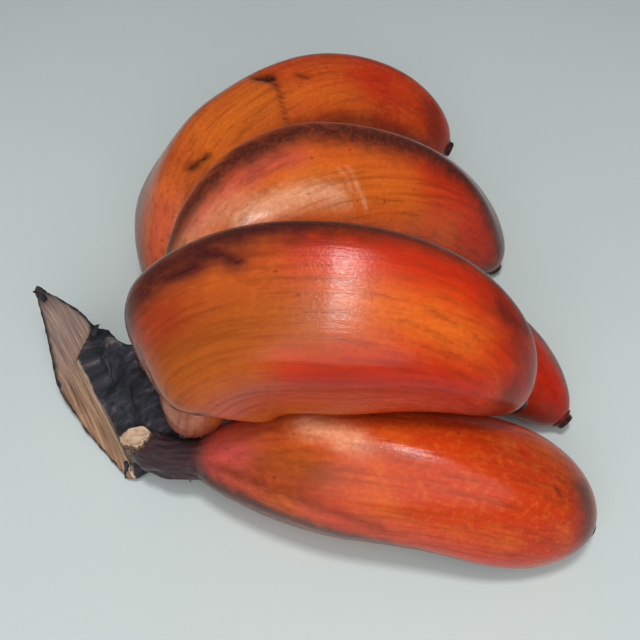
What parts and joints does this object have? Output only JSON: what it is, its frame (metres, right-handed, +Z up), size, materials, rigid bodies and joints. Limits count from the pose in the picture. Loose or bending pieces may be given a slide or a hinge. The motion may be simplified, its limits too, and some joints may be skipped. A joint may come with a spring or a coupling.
{
  "type": "hand of red bananas",
  "caption": "Hand of plump red bananas fanned from one dark cut crown, resting on a table with the fruit tips pointing away from the crown.",
  "frame": {"origin": "centre of the bounding box in plan, at the table surface under the fruit", "axes": "+X from the crown towards the fruit tips, +Y away from the front fruit, +Z up"},
  "size_m": [0.1722, 0.2082, 0.0944],
  "materials": {
    "crown_tissue": "dry, fibrous cut stem tissue, grey-brown on the cut and nearly black on its sides",
    "peel_orange_red": "waxy banana peel, satin",
    "peel_brown_red": "waxy banana peel, satin, browner towards the crown",
    "peel_deep_red": "waxy banana peel, satin"
  },
  "bodies": {
    "root": {"crown": "crown_tissue", "outer_finger_back": "peel_orange_red", "outer_finger_middle": "peel_orange_red", "outer_finger_front": "peel_brown_red", "inner_finger_back": "peel_deep_red", "inner_finger_front": "peel_orange_red"}
  },
  "joints": []
}
